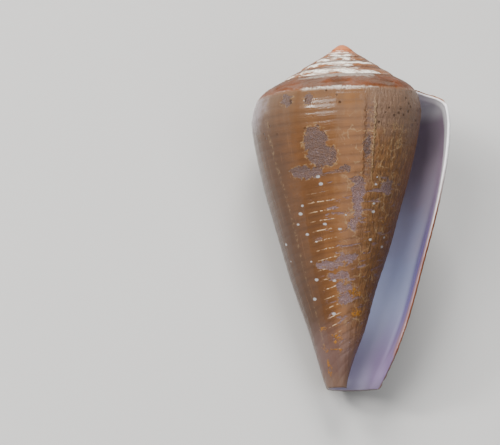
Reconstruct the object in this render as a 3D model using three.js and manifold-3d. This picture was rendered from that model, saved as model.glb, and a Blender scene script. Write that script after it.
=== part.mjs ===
// Cone shell: one natural solid with a stepped spire, a tapering last whorl and a
// long narrow aperture. It lies on its back, aperture up, spire towards +Y.
import * as THREE from 'three';
import { mergeVertices } from 'three/addons/utils/BufferGeometryUtils.js';
import Module from 'manifold-3d';

const wasm = await Module();
wasm.setup();

// Driving dimensions, millimetres
const shellLength = 49.8;        // apex to the cut front end, along the coiling axis
const growthPerWhorl = 1.36;     // every size grows by this factor in one turn
const wallThickness = 0.8;       // at the lip; older shell is thinner in proportion
const innerWallThickness = 0.35; // deep inside, where the animal dissolves its old walls
const glazeThickness = 0.05;     // layer laid over the older whorl inside the aperture
const columellaRadius = 0.62;    // central pillar
const pillarTop = 30;            // stretch of the pillar that shows in the aperture
const pillarBottom = 48.7;

// The worn tip of the spire: distance from the axis and depth
const tipOutline = [[0, 0], [0.45, 0.08], [0.85, 0.3], [1.6, 0.86], [0, 1.8]];

// Outlines of a whorl, at the size it has at the lip: depth below the apex and distance
// from the axis. Each starts inside the older whorl, rounds the shoulder and runs down
// to the axis. The shoulder grows squarer over the last part of the last whorl.
const front = [[48, 6.15], [56, 3.75], [61, 1.6], [64.5, 0]];
const olderOutline = [
  [6.6, 10.5], [7.3, 11.7], [8, 12.9], [8.8, 13.8], [9.9, 14.6], [11.8, 15.15], [13.8, 15.3],
  [17.7, 14.75], [24, 13.4], [32, 11.2], [40, 8.9], ...front,
];
const lipOutline = [
  [6.6, 10.5], [7.2, 12.2], [7.65, 13.5], [8.3, 14.5], [9.4, 15.15], [11.3, 15.45], [13.6, 15.4],
  [17.7, 14.9], [24, 13.6], [32, 11.4], [40, 9.1], ...front,
];
const squareStart = -0.4;        // whorls

// Extent of the coil, in whorls: the lip is at 0 and older shell is negative
const lipBandStart = -0.5;       // the free wall of the last half whorl
const lipBandLowest = 2;         // radius at which the free wall ends in front
const lipBandCorner = [8.3, 10.8]; // depth and radius of its inner edge, at the suture
const stretchesPerWhorl = 2.5;   // the solid part of the coil is built in such stretches
const stretchCount = 14;
const coarseStretches = 12;      // the older ones, in the spire
const cavityStart = -2.6;
const cavityBend = -1.2;         // the cavity is coarser before it
const lipForward = 0.028;        // the lip reaches a little past the right-hand outline

// The worn front corner of the lip, by depth below the apex
const lipWearStart = 44.5;
const lipWear = 0.085;           // whorls lost at the front end
const sinusDepth = 0.03;         // whorls by which the lip draws back on the ramp
const chipSize = 0.006;          // whorls, the ragged edge of the worn corner
const chipsPerMillimetre = 5;

// Facets in one turn of the outer whorls, of the spire and of the cavity deep inside
const outerSteps = 30;
const spireSteps = 30;
const innerSteps = 25;
const restFacetMiddle = -9;      // left out, so the facet on which the shell rests is double
const axisTopDrop = 1.15;        // the ramp's depth at the axis over that at the suture
const inset = 0.2;               // a stretch of the coil starts inside the one before it
const shortestEdge = 0.02;       // shorter ones are closed up

// Resting pose on the back, degrees
const restPitch = 12.83;         // spire end up
const restRoll = -21.78;         // about the coiling axis

// Sample an outline closely round the shoulder and sparsely down the flank
function sampleOutline(outline) {
  const curve = new THREE.SplineCurve(outline.map(([depth, radius]) => new THREE.Vector2(depth, radius)));
  const spans = outline.length - 1;
  const places = [0, 1, 2, 2.5, 3, 3.5, 4, 4.5, 5, 6, 7, 8.6, 9.1, 9.8, 10.5, 11.2, 12, 13, 13.7, 14];
  return places.map((place) => curve.getPoint(place / spans));
}

const olderProfile = sampleOutline(olderOutline);
const lipProfile = sampleOutline(lipOutline);
const roofStart = 3;             // the first point of the outline that has the cavity under it
const scaleAt = (whorl) => growthPerWhorl ** whorl;

function profileAt(whorl) {
  const square = THREE.MathUtils.smoothstep(whorl, squareStart, 0);
  return olderProfile.map((point, i) => point.clone().lerp(lipProfile[i], square));
}

// Radius of the older outline at a depth, by linear interpolation between its points
function olderRadius(depth) {
  if (depth >= olderProfile.at(-1).x) return 0;
  const next = Math.max(1, olderProfile.findIndex((point) => point.x > depth));
  const [a, b] = [olderProfile[next - 1], olderProfile[next]];
  return a.y + (b.y - a.y) * (depth - a.x) / (b.x - a.x);
}

// A place on the coil. The axis lies along Y, the lip is on +X, the back on -Z and the
// aperture looks to +Z.
function toSpace({ whorl, depth, radius }) {
  const angle = whorl * 2 * Math.PI;
  return [radius * Math.cos(angle), -depth, radius * Math.sin(angle)];
}

// Put a section, given at lip size, at its place and size on the coil
function placeSection(section, whorl) {
  const scale = scaleAt(whorl);
  return section.map(({ x, y }) => ({ whorl, depth: x * scale, radius: y * scale }));
}

// Turn a closed geometry into a manifold solid
function toSolid(geometry) {
  const bare = geometry.clone();
  bare.deleteAttribute('normal');
  bare.deleteAttribute('uv');
  const merged = mergeVertices(bare, 1e-5);
  const index = merged.index.array;
  const triVerts = [];
  for (let i = 0; i < index.length; i += 3) {
    const [a, b, c] = index.slice(i, i + 3);
    if (a !== b && b !== c && c !== a) triVerts.push(a, b, c);
  }
  return new wasm.Manifold(new wasm.Mesh({
    numProp: 3,
    vertProperties: new Float32Array(merged.attributes.position.array),
    triVerts: new Uint32Array(triVerts),
  }));
}

// Triangles that close a ring, facing along the direction of the sweep when seen forward
function capTriangles(ring) {
  const section = ring.map(({ depth, radius }) => new THREE.Vector2(depth, radius));
  const faces = THREE.ShapeUtils.triangulateShape(section, []);
  return THREE.ShapeUtils.isClockWise(section) ? faces.map((face) => face.toReversed()) : faces;
}

// Join rings of points, each running once round a section, into a closed solid
function solidFromRings(rings) {
  const size = rings[0].length;
  const last = (rings.length - 1) * size;
  const triangles = [];
  for (let i = 0; i < last; i += size) {
    for (let j = 0; j < size; j++) {
      const k = (j + 1) % size;
      const [a, b, c, d] = [i + j, i + k, i + size + k, i + size + j];
      triangles.push(a, c, b, a, d, c);
    }
  }
  for (const [a, b, c] of capTriangles(rings[0])) triangles.push(a, b, c);
  for (const [a, b, c] of capTriangles(rings.at(-1))) triangles.push(last + a, last + c, last + b);
  const geometry = new THREE.BufferGeometry();
  geometry.setAttribute('position', new THREE.Float32BufferAttribute(rings.flat().flatMap(toSpace), 3));
  geometry.setIndex(triangles);
  return toSolid(geometry);
}

// A stretch of the coil, filled from the outline in to the axis. It starts one step
// early with a smaller section, hidden inside the stretch before it.
function filledStretch(stretch, stepsPerWhorl) {
  const steps = stepsPerWhorl / stretchesPerWhorl;
  const scale = scaleAt(stretch / stretchesPerWhorl);
  const axisTop = { whorl: 0, depth: axisTopDrop * olderProfile[0].x * scale, radius: 0 };
  const axisBottom = { whorl: 0, depth: olderProfile.at(-1).x * scale, radius: 0 };
  const body = olderProfile.slice(0, -1);
  const small = body.map(({ x, y }) => new THREE.Vector2(x + inset, y - inset));
  const rings = [];
  for (let i = -1; i <= steps; i++) {
    const ring = placeSection(i < 0 ? small : body, (stretch + i / steps) / stretchesPerWhorl);
    rings.push([axisTop, ...ring, axisBottom]);
  }
  return solidFromRings(rings);
}

// The outline moved inwards by the wall's thickness, from a little way up the ramp
function roofUnder(profile, wall) {
  const roof = [];
  for (let i = roofStart; i < profile.length - 1; i++) {
    const along = profile[i + 1].clone().sub(profile[i - 1]).normalize();
    roof.push(new THREE.Vector2(profile[i].x + wall * along.y, profile[i].y - wall * along.x));
  }
  return roof;
}

// Radius of the older whorl inside the cavity, or of the columella
function floorRadius(depth) {
  const older = olderRadius(depth * growthPerWhorl) / growthPerWhorl;
  return Math.max(older + glazeThickness, columellaRadius);
}

// One stretch of the hollow in which the animal lived, between the wall and the whorl
// inside it. The section keeps every so many points of the outline.
function cavity(from, to, stepsPerWhorl, keepEvery, wall) {
  const open = (point) => point.y > floorRadius(point.x) + wallThickness / 2;
  const roof = roofUnder(olderProfile, wall).filter(open).filter((point, i) => i % keepEvery === 0);
  const floor = olderProfile
    .map(({ x }) => x / growthPerWhorl)
    .filter((depth) => depth > roof[0].x && depth < roof.at(-1).x)
    .filter((depth, i) => i % keepEvery === 0)
    .map((depth) => new THREE.Vector2(depth, floorRadius(depth)));
  const section = [...roof, ...floor.reverse()];
  const rings = [];
  for (let step = Math.floor(from * stepsPerWhorl); step <= to * stepsPerWhorl; step++) {
    rings.push(placeSection(section, step / stepsPerWhorl));
  }
  return solidFromRings(rings);
}

// Where the lip ends, in whorls, at a depth below the apex
function lipEnd(depth) {
  const worn = Math.max(0, (depth - lipWearStart) / (shellLength - lipWearStart));
  const ragged = chipSize * Math.min(1, 4 * worn) * Math.sin(depth * chipsPerMillimetre);
  const sinus = sinusDepth * (1 - THREE.MathUtils.smoothstep(depth, 7, 9.6));
  return lipForward - lipWear * worn - sinus + ragged;
}

// The free wall of the last half whorl, from the back round to the lip. Each line of
// points along the coil stops where the lip ends at its depth.
function lipBand() {
  const count = lipProfile.filter(({ y }) => y > lipBandLowest).length;
  const lines = Array.from({ length: count }, (_, line) => line);
  const corner = new THREE.Vector2(...lipBandCorner);
  const rings = [];
  for (let step = lipBandStart * outerSteps - 1; step <= Math.ceil(lipForward * outerSteps); step++) {
    if (step === restFacetMiddle) continue;
    const hidden = step < lipBandStart * outerSteps ? inset : 0;
    const bandPoint = (line, isRoof) => {
      const whorl = Math.min(step / outerSteps, lipEnd(lipProfile[line].x));
      const profile = profileAt(whorl);
      const wall = wallThickness - 2 * hidden;
      const { x, y } = isRoof ? roofUnder(profile, wall)[line - roofStart] : profile[line];
      return placeSection([new THREE.Vector2(x + hidden, y - hidden)], whorl)[0];
    };
    const outer = lines.map((line) => bandPoint(line, false));
    const roof = lines.slice(roofStart).map((line) => bandPoint(line, true));
    const cornerWhorl = Math.min(step / outerSteps, lipEnd(corner.x));
    rings.push([...outer, ...roof.reverse(), placeSection([corner], cornerWhorl)[0]]);
  }
  return solidFromRings(rings);
}

// The worn tip of the spire
function apexTip() {
  const outline = tipOutline.map(([radius, depth]) => new THREE.Vector2(radius, -depth));
  return toSolid(new THREE.LatheGeometry(outline.reverse(), spireSteps));
}

// The end of the central pillar, in the aperture
function pillar() {
  const height = pillarBottom - pillarTop;
  const cylinder = new THREE.CylinderGeometry(columellaRadius, columellaRadius, height, 16);
  cylinder.translate(0, -(pillarTop + pillarBottom) / 2, 0);
  return toSolid(cylinder);
}

// Everything beyond the worn front end
function frontCut() {
  const size = 60;
  const block = new THREE.BoxGeometry(size, size, size);
  block.translate(0, -shellLength - size / 2, 0);
  return toSolid(block);
}

function coneShell() {
  let solid = apexTip();
  const lastStretch = lipBandStart * stretchesPerWhorl;
  for (let i = stretchCount; i > 0; i--) {
    const isCoarse = i > stretchCount - coarseStretches;
    solid = solid.add(filledStretch(lastStretch - i, isCoarse ? spireSteps : outerSteps));
  }
  const innerEnd = cavityBend + 1 / innerSteps;
  const outerEnd = lipBandStart + 1 / outerSteps;
  return solid
    .subtract(cavity(cavityStart, innerEnd, innerSteps, 2, innerWallThickness))
    .subtract(cavity(cavityBend, outerEnd, outerSteps, 1, wallThickness))
    .add(lipBand())
    .add(pillar())
    .subtract(frontCut());
}

// Number of the point that each point becomes when the ends of very short edges, which
// the cuts leave behind, are joined
function joinShortEdges(points, triangles) {
  const joined = points.map((_, i) => i);
  const find = (i) => {
    let root = i;
    while (joined[root] !== root) root = joined[root];
    return root;
  };
  for (const [a, b, c] of triangles) {
    for (const [from, to] of [[a, b], [b, c], [c, a]]) {
      const [keep, drop] = [find(from), find(to)].sort((i, j) => i - j);
      if (points[keep].distanceTo(points[drop]) < shortestEdge) joined[drop] = keep;
    }
  }
  return points.map((_, i) => find(i));
}

// The solid's mesh without its slivers. Two faces that come to lie back to back go too.
function toGeometry(solid) {
  const { vertProperties, triVerts } = solid.getMesh();
  const count = vertProperties.length / 3;
  const points = Array.from({ length: count }, (_, i) => new THREE.Vector3().fromArray(vertProperties, 3 * i));
  const triangles = [];
  for (let i = 0; i < triVerts.length; i += 3) triangles.push([...triVerts.slice(i, i + 3)]);
  const joined = joinShortEdges(points, triangles);
  const kept = new Map();
  for (const triangle of triangles) {
    const corners = triangle.map((corner) => joined[corner]);
    if (new Set(corners).size < 3) continue;
    const key = corners.toSorted((i, j) => i - j).join();
    if (kept.has(key)) kept.delete(key);
    else kept.set(key, corners);
  }
  const geometry = new THREE.BufferGeometry();
  geometry.setAttribute('position', new THREE.Float32BufferAttribute(vertProperties, 3));
  geometry.setIndex([...kept.values()].flat());
  const clean = mergeVertices(geometry);
  clean.computeVertexNormals();
  return clean;
}

const shellMaterial = new THREE.MeshStandardMaterial({ color: 0xa8682f, roughness: 0.4, metalness: 0 });
const shell = new THREE.Mesh(toGeometry(coneShell()), shellMaterial);
shell.name = 'cone_shell';
shell.rotation.set(THREE.MathUtils.degToRad(restPitch), THREE.MathUtils.degToRad(restRoll), 0);

// Stand the shell on the ground, centred on the origin
const object = new THREE.Group();
object.add(shell);
object.updateMatrixWorld(true);
const box = new THREE.Box3().setFromObject(shell, true);
shell.position.set(-(box.min.x + box.max.x) / 2, -(box.min.y + box.max.y) / 2, -box.min.z);

export default object;
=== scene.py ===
"""A cone shell that lies on its back, aperture up, on a pale floor."""

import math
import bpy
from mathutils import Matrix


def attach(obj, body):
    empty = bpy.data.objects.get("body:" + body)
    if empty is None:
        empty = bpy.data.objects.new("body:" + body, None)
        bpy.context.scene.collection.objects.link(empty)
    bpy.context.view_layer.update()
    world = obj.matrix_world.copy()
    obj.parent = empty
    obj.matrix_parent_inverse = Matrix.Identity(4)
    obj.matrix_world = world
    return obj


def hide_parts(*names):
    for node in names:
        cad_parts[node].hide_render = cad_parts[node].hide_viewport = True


bl_info = {
    "name": "Cone Shell",
    "version": (1, 0, 0),
    "blender": (4, 5, 0),
    "location": "View3D > Sidebar > Cone Shell",
    "description": "Grows a cone shell around its CAD model and sets up a plain studio",
    "category": "Object",
}

import bmesh
import bpy
from bpy.props import FloatProperty, FloatVectorProperty, IntProperty, PointerProperty
from mathutils import Matrix, Vector

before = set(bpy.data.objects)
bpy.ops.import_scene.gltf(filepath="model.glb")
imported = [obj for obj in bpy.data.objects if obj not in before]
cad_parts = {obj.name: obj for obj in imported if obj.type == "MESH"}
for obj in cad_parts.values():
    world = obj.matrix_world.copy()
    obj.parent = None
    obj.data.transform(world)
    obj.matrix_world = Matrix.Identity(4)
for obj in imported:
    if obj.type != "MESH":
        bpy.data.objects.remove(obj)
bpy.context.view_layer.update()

# Lengths in this file are in millimetres unless a name or a comment says otherwise.
MM = 0.001

# The outline of a whorl, at the size it has at the lip: depth below the apex and
# distance from the axis. The shoulder grows squarer towards the lip.
FRONT = [(48, 6.15), (56, 3.75), (61, 1.6), (64.5, 0)]
OLDER_OUTLINE = [
    (6.6, 10.5), (7.3, 11.7), (8, 12.9), (8.8, 13.8), (9.9, 14.6), (11.8, 15.15),
    (13.8, 15.3), (17.7, 14.75), (24, 13.4), (32, 11.2), (40, 8.9), *FRONT,
]
LIP_OUTLINE = [
    (6.6, 10.5), (7.2, 12.2), (7.65, 13.5), (8.3, 14.5), (9.4, 15.15), (11.3, 15.45),
    (13.6, 15.4), (17.7, 14.9), (24, 13.6), (32, 11.4), (40, 9.1), *FRONT,
]
OUTLINE_TOP = OLDER_OUTLINE[0][0]
OUTLINE_LENGTH = OLDER_OUTLINE[-1][0] - OUTLINE_TOP
OUTLINE_POWER = 1.5        # rows of the mesh lie closer near the shoulder
OUTLINE_SAMPLES = 60
WIDEST = 16.0              # scale of the radius in the outline's curve node
SQUARE_START = -0.4        # whorl at which the shoulder starts to grow squarer

# Stretches of the coil, in whorls. The lip is at 0 and older shell is negative.
SPIRE_START = -9.0
WHORL_START = -1.45        # the last whorl's wall starts a little inside the aperture
SPIRE_REACH = 10.4         # depth at which a whorl of the spire is covered by the next
LIP_FORWARD = 0.028        # whorls that the lip reaches past 0
LIP_WEAR_START = 44.5      # depth below which the lip is worn back
LIP_WEAR_LENGTH = 5.3      # from there to the front end
LIP_WEAR = 0.085           # whorls that the front end is worn back
SINUS = 0.03               # whorls that the lip is drawn back at the suture
SINUS_DEPTHS = (9.6, 7.0)
CHIP_SIZE = 0.006          # whorls
CHIP_WAVE = 5.0            # radians for each millimetre down the lip
LIP_UNEVEN = 0.006         # whorls
LIP_ROUNDING = 0.0035      # whorls over which the lip's edge is rounded
ROUNDED_COLUMNS = 6
LIP_BEND = 1.3             # radians of that rounding; a narrow flat is left between the sides
LIP_THINNING = 0.45        # share of the wall that is lost at the lip's edge
LIP_THIN_REACH = 0.035     # whorls over which it is lost
SOLID_WHORLS = (-0.5, -0.56)    # where the inner wall closes up round the axis in front
SOLID_DEPTHS = (41.0, 46.0)
LEAST_RADIUS = 0.03
WRINKLED_SIDE = (-1.02, -0.80)  # whorls with higher growth wrinkles, beside the aperture
MERGE_DISTANCE = 0.0005

# Mesh density: columns along the coil, rows down the outside and the inside
WHORL_COLUMNS = 300
WHORL_ROWS = (228, 34)
SPIRE_COLUMNS = 620
SPIRE_ROWS = (18, 3)

# The worn tip of the spire: distance from the axis and depth
TIP_OUTLINE = [(0, 0), (0.25, 0.02), (0.45, 0.08), (0.66, 0.18), (0.85, 0.3), (1.2, 0.56), (1.6, 0.9)]
TIP_THICKNESS = 1.2
TIP_STEPS = 40
TIP_RINGS = 24
TIP_UNDERSIDE = 0.25       # rings of the hidden underside, as a share of those on top

# Resting pose, as in the CAD model
REST_PITCH = math.radians(12.83)
REST_ROLL = math.radians(-21.78)
REST_PLACE = Vector((-1.1298, 24.3573, 16.4049))

# Camera: how the photograph shows the shell
PIXEL = 0.1443                  # millimetres at the shell
VIEW_DOWN = math.radians(7.0)   # the view leans from the front end
VIEW_ROLL = 0.01
CAMERA_DISTANCE = 1200.0
APEX_PIXEL = (342, 45)
FRAME_SIZE = (500, 445)
SENSOR_WIDTH = 36.0

# Lights: right, up and out of the camera's axis, size in metres, power in watts and colour
LIGHTS = [
    ("key light", (-0.36, 0.42, 1.0), 0.34, 5.2, (1.0, 0.985, 0.96)),
    ("glint light", (-0.85, 0.55, 1.0), 0.12, 4.5, (1.0, 0.985, 0.96)),
    ("top light", (0.10, 1.40, 0.5), 0.34, 7.5, (1.0, 0.99, 0.97)),
    ("fill light", (0.50, 0.00, 1.0), 0.90, 4.5, (0.97, 0.98, 1.0)),
]
LIGHT_DISTANCE = 0.8            # metres from the middle of the shell
LIT_HEIGHT = 0.013              # metres above the floor
SKY_COLOUR = (0.95, 0.97, 1.0)
SKY_STRENGTH = 0.06
FLOOR_REACH = 1.5               # metres from the shell to the floor's edge

# Gloss: roughness of the smooth glaze and what dull places and grain add to it
SMOOTH_ROUGHNESS = 0.20
DULL_ROUGHNESS = 0.32
GRAIN_ROUGHNESS = 0.16
GLAZE_IOR = 1.32
COAT_WEIGHT = 0.05
COAT_ROUGHNESS = 0.14
FLOOR_ROUGHNESS = 0.75

# Where the finishes of the last whorl lie: pairs of limits, in whorls and in depth
ROUGH_SIDE = (-1.05, -0.80)         # the older shell beside the aperture
MAUVE_GROOVE = (-0.808, -0.793)
PALE_RIDGE = (-0.815, -0.810)
RIDGE_DEPTHS = (9.5, 20.5)
PALE_LINE = (-0.588, -0.580)
PALE_LINE_DRIFT = 0.02              # whorls that the pale line moves towards the front end
SCAR = (-0.55, -0.45)
SCAR_DEPTHS = (7.0, 12.0)
VEINS = (-0.93, -0.745)
VEIN_DEPTHS = (12.0, 42.0)
FLECKS = (-0.93, -0.68)
FLECK_DEPTHS = (19.0, 44.0)
# Painted highlight: cream lines on the rib crests, in these whorls and depths, where the ribs glint
PAINTED_GLINT_WHORLS = (-0.725, -0.665)
PAINTED_GLINT_DEPTHS = (23.0, 42.0)
PIT_OUTLINES = (9.4, 17.0)
SHOULDER_OUTLINES = (7.25, 9.5)     # the band just below the suture
BASE_DEPTHS = (39.0, 45.0)          # from brown to mauve
BASE_TIP_DEPTHS = (46.5, 49.5)
BEHIND_LIP = (-0.05, -0.012)        # from blue grey to violet
DOT_STRETCH = Vector((1.0, 1.5, 1.0))

# Where marks lie on the last whorl: whorl and depth
WHITE_DOTS = [
    (-0.644, 24.3), (-0.634, 25.4), (-0.621, 26.8), (-0.697, 27.0), (-0.736, 27.8),
    (-0.644, 28.3), (-0.668, 29.4), (-0.550, 29.3), (-0.640, 32.1), (-0.552, 31.7),
    (-0.645, 34.7), (-0.711, 34.9), (-0.617, 37.3), (-0.692, 39.5), (-0.829, 24.1),
    (-0.829, 25.2), (-0.754, 25.8), (-0.831, 29.1), (-0.891, 28.6), (-0.890, 29.9),
    (-0.692, 20.4), (-0.697, 21.4), (-0.829, 20.4), (-0.828, 21.4), (-0.303, 22.9),
    (-0.264, 24.4), (-0.264, 25.4), (-0.265, 26.5), (-0.265, 27.5), (-0.163, 29.8),
    (-0.313, 29.5), (-0.179, 27.3), (-0.364, 27.4), (-0.216, 35.4), (-0.310, 37.2),
    (-0.241, 39.6), (-0.341, 39.1), (-0.221, 41.0), (-0.367, 41.4), (-0.420, 43.2),
]
# Worn patches: whorl, depth, half width along the coil and half height, millimetres
WORN_PATCHES = [
    (-0.694, 15.4, 1.8, 2.2), (-0.705, 17.4, 2.3, 1.7), (-0.654, 19.7, 1.8, 0.9),
    (-0.690, 19.6, 0.9, 0.8), (-0.754, 19.4, 1.2, 0.35), (-0.784, 21.1, 1.2, 0.5),
    (-0.783, 22.9, 1.0, 1.7), (-0.785, 25.0, 1.0, 1.1), (-0.772, 26.8, 0.7, 1.1),
    (-0.753, 31.8, 1.7, 0.7), (-0.696, 32.7, 2.0, 0.5), (-0.727, 34.3, 1.6, 0.6),
    (-0.744, 35.9, 1.3, 0.7), (-0.752, 37.4, 1.1, 0.9), (-0.864, 21.7, 1.1, 1.4),
    (-0.799, 16.5, 0.6, 3.4), (-0.635, 9.4, 1.0, 0.9), (-0.683, 9.3, 0.8, 0.7),
]
ORANGE_CRUSTS = [
    (-0.815, 39.3, 0.8, 0.6), (-0.79, 36.6, 0.9, 0.8), (-0.62, 41.5, 0.5, 0.4),
    (-0.66, 44.6, 1.0, 0.3), (-0.60, 44.0, 0.4, 0.5), (-0.60, 47.0, 0.4, 1.2),
    (-0.875, 26.2, 0.4, 0.3), (-0.70, 43.0, 0.5, 0.4), (-0.345, 30.5, 0.8, 0.6),
    (-0.40, 17.0, 0.5, 0.5), (-0.28, 42.2, 1.6, 0.6), (-0.14, 41.6, 1.4, 0.6),
    (-0.36, 44.2, 1.4, 0.5),
]


def smooth_outline(outline, samples):
    """Points at even steps of the mesh's row coordinate, on a Catmull-Rom curve."""
    points = [Vector(point) for point in outline]
    dense = []
    for i in range(len(points) - 1):
        before = points[max(i - 1, 0)]
        start = points[i]
        end = points[i + 1]
        after = points[min(i + 2, len(points) - 1)]
        for step in range(20):
            t = step / 20
            dense.append(
                start
                + 0.5 * t * (end - before)
                + t * t * (before - 2.5 * start + 2 * end - 0.5 * after)
                + 1.5 * t ** 3 * (start - end)
                + 0.5 * t ** 3 * (after - before)
            )
    dense.append(points[-1])
    result = []
    segment = 0
    for i in range(samples + 1):
        depth = OUTLINE_TOP + OUTLINE_LENGTH * (i / samples) ** OUTLINE_POWER
        while segment < len(dense) - 2 and dense[segment + 1].x < depth:
            segment += 1
        first = dense[segment]
        second = dense[segment + 1]
        share = (depth - first.x) / max(second.x - first.x, 1e-9)
        result.append(first.lerp(second, min(max(share, 0), 1)))
    return result


def outline_slopes(points):
    """Angle of the outline against the axis at each point."""
    slopes = []
    for i in range(len(points)):
        along = points[min(i + 1, len(points) - 1)] - points[max(i - 1, 0)]
        slopes.append(math.atan2(along.y, along.x))
    return slopes


def outline_radius(depth):
    """Radius of the outline of the last whorl at a depth, both at lip size."""
    points = smooth_outline(OLDER_OUTLINE, 200)
    for first, second in zip(points, points[1:]):
        if depth <= second.x:
            share = (depth - first.x) / (second.x - first.x)
            return first.y + (second.y - first.y) * share
    return 0.0


def on_coil(whorl, depth):
    """Point of the last whorl's surface, in the shell's own frame."""
    growth = bpy.context.scene.cone_shell.growth
    scale = growth ** whorl
    radius = scale * outline_radius(depth / scale)
    angle = 2 * math.pi * whorl
    return Vector((radius * math.cos(angle), -depth, radius * math.sin(angle)))


def rest_matrix():
    """From the shell's own frame to the frame of the model, in millimetres."""
    turn = Matrix.Rotation(REST_PITCH, 4, "X") @ Matrix.Rotation(REST_ROLL, 4, "Y")
    return Matrix.Translation(REST_PLACE) @ turn


# Node trees as arithmetic


class Value:
    """An output socket that adds Math nodes when it is used in plain arithmetic."""

    def __init__(self, graph, socket):
        self.graph = graph
        self.socket = socket

    def __add__(self, other):
        return self.graph.math("ADD", self, other)

    __radd__ = __add__

    def __sub__(self, other):
        return self.graph.math("SUBTRACT", self, other)

    def __rsub__(self, other):
        return self.graph.math("SUBTRACT", other, self)

    def __mul__(self, other):
        return self.graph.math("MULTIPLY", self, other)

    __rmul__ = __mul__

    def __truediv__(self, other):
        return self.graph.math("DIVIDE", self, other)

    def __rtruediv__(self, other):
        return self.graph.math("DIVIDE", other, self)

    def __pow__(self, other):
        return self.graph.math("POWER", self, other)

    def other(self, name):
        """Another output of the same node."""
        return Value(self.graph, self.socket.node.outputs[name])


class Graph:
    """A node tree of either kind, built by calls."""

    def __init__(self, tree):
        self.tree = tree

    def node(self, kind, settings=None, inputs=None, out=0):
        """Adds a node: its settings first, then the values or links of its sockets."""
        node = self.tree.nodes.new(kind)
        for name, setting in (settings or {}).items():
            if name == "points":
                self._set_points(node.mapping, setting)
            else:
                setattr(node, name, setting)
        for name, value in (inputs or {}).items():
            if isinstance(value, Value):
                self.tree.links.new(value.socket, node.inputs[name])
            else:
                node.inputs[name].default_value = value
        return Value(self, node.outputs[out]) if len(node.outputs) else None

    @staticmethod
    def _set_points(mapping, points):
        curve = mapping.curves[0]
        while len(curve.points) < len(points):
            curve.points.new(1.0, 1.0)
        for point, place in zip(curve.points, points):
            point.location = place
        mapping.update()

    def math(self, operation, *operands):
        return self.node("ShaderNodeMath", {"operation": operation}, dict(enumerate(operands)))

    def least(self, values):
        """The smallest of some values."""
        smallest = values[0]
        for value in values[1:]:
            smallest = self.math("MINIMUM", smallest, value)
        return smallest

    def curve(self, points, value):
        """A value between 0 and 1 led through a curve."""
        return self.node("ShaderNodeFloatCurve", {"points": points}, {"Value": value})

    def turned(self, radius, depth, angle):
        """Place at a distance from the axis, a depth below the apex and an angle about the axis."""
        side = radius * self.math("COSINE", angle)
        return self.vector(side, depth * -1.0, radius * self.math("SINE", angle))

    def vector(self, x, y, z):
        return self.node("ShaderNodeCombineXYZ", None, {0: x, 1: y, 2: z})

    def vector_math(self, operation, *operands, out=0):
        inputs = dict(enumerate(operands))
        return self.node("ShaderNodeVectorMath", {"operation": operation}, inputs, out)

    def step(self, value, low, high):
        """Smooth step of a value, from 0 at low to 1 at high. Low may be the larger."""
        settings = {"interpolation_type": "SMOOTHSTEP"}
        if low < high:
            return self.node("ShaderNodeMapRange", settings, {0: value, 1: low, 2: high})
        inputs = {0: value, 1: high, 2: low, 3: 1.0, 4: 0.0}
        return self.node("ShaderNodeMapRange", settings, inputs)

    def between(self, value, low, high, soft):
        """1 where a value lies between two limits, with soft edges."""
        return self.step(value, low - soft, low + soft) * self.step(value, high + soft, high - soft)

    def noise(self, place, scale, detail=2.0, roughness=0.5, distortion=0.0):
        inputs = {
            "Vector": place, "Scale": scale, "Detail": detail,
            "Roughness": roughness, "Distortion": distortion,
        }
        return self.node("ShaderNodeTexNoise", None, inputs)

    def mix(self, share, first, second):
        """Colour between two colours, each a value of the tree or a plain colour."""
        node = self.tree.nodes.new("ShaderNodeMix")
        node.data_type = "RGBA"
        node.clamp_factor = True
        first_paint, second_paint = (
            paint if isinstance(paint, Value) else (*paint, 1.0) for paint in (first, second))
        colour_sockets = [socket for socket in node.inputs if socket.type == "RGBA"]
        sockets = [node.inputs[0], *colour_sockets]
        for socket, value in zip(sockets, (share, first_paint, second_paint)):
            if isinstance(value, Value):
                self.tree.links.new(value.socket, socket)
            else:
                socket.default_value = value
        output = next(socket for socket in node.outputs if socket.type == "RGBA")
        return Value(self, output)


NUMBER = "NodeSocketFloat"
COUNT = "NodeSocketInt"


def new_geometry_tree(name, inputs):
    """A Geometry Nodes tree with named inputs: name to socket type and default."""
    tree = bpy.data.node_groups.new(name, "GeometryNodeTree")
    tree.interface.new_socket("Geometry", in_out="OUTPUT", socket_type="NodeSocketGeometry")
    for label, (kind, default) in inputs.items():
        socket = tree.interface.new_socket(label, in_out="INPUT", socket_type=kind)
        if default is not None:
            socket.default_value = default
    return tree


def end_tree(tree, surface):
    """Makes a surface the output of a tree."""
    exit_node = tree.nodes.new("NodeGroupOutput")
    tree.links.new(surface.socket, exit_node.inputs["Geometry"])


def unit_grid(graph, columns, rows):
    """A flat grid, with each point's share of the way across its columns and its rows."""
    grid = graph.node("GeometryNodeMeshGrid", None, {
        "Size X": 1.0, "Size Y": 1.0, "Vertices X": columns, "Vertices Y": rows,
    })
    spot = graph.node("GeometryNodeInputPosition")
    split = graph.node("ShaderNodeSeparateXYZ", None, {0: spot})
    return grid, split + 0.5, split.other("Y") + 0.5


def bent_grid(graph, grid, whorl, outline, inside, place):
    """The grid moved to its place on the shell, with its coordinates kept for the finish."""
    for name, value in (("whorl", whorl), ("outline", outline), ("inside", inside)):
        grid = graph.node(
            "GeometryNodeStoreNamedAttribute", {"data_type": "FLOAT", "domain": "POINT"},
            {"Geometry": grid, "Name": name, "Value": value})
    moved = graph.node("GeometryNodeSetPosition", None, {"Geometry": grid, "Position": place})
    return graph.node(
        "GeometryNodeMergeByDistance", None, {"Geometry": moved, "Distance": MERGE_DISTANCE})


def curve_points(values):
    """Even points of a Float Curve node through values between 0 and 1."""
    last = len(values) - 1
    return [(i / last, value) for i, value in enumerate(values)]


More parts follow.
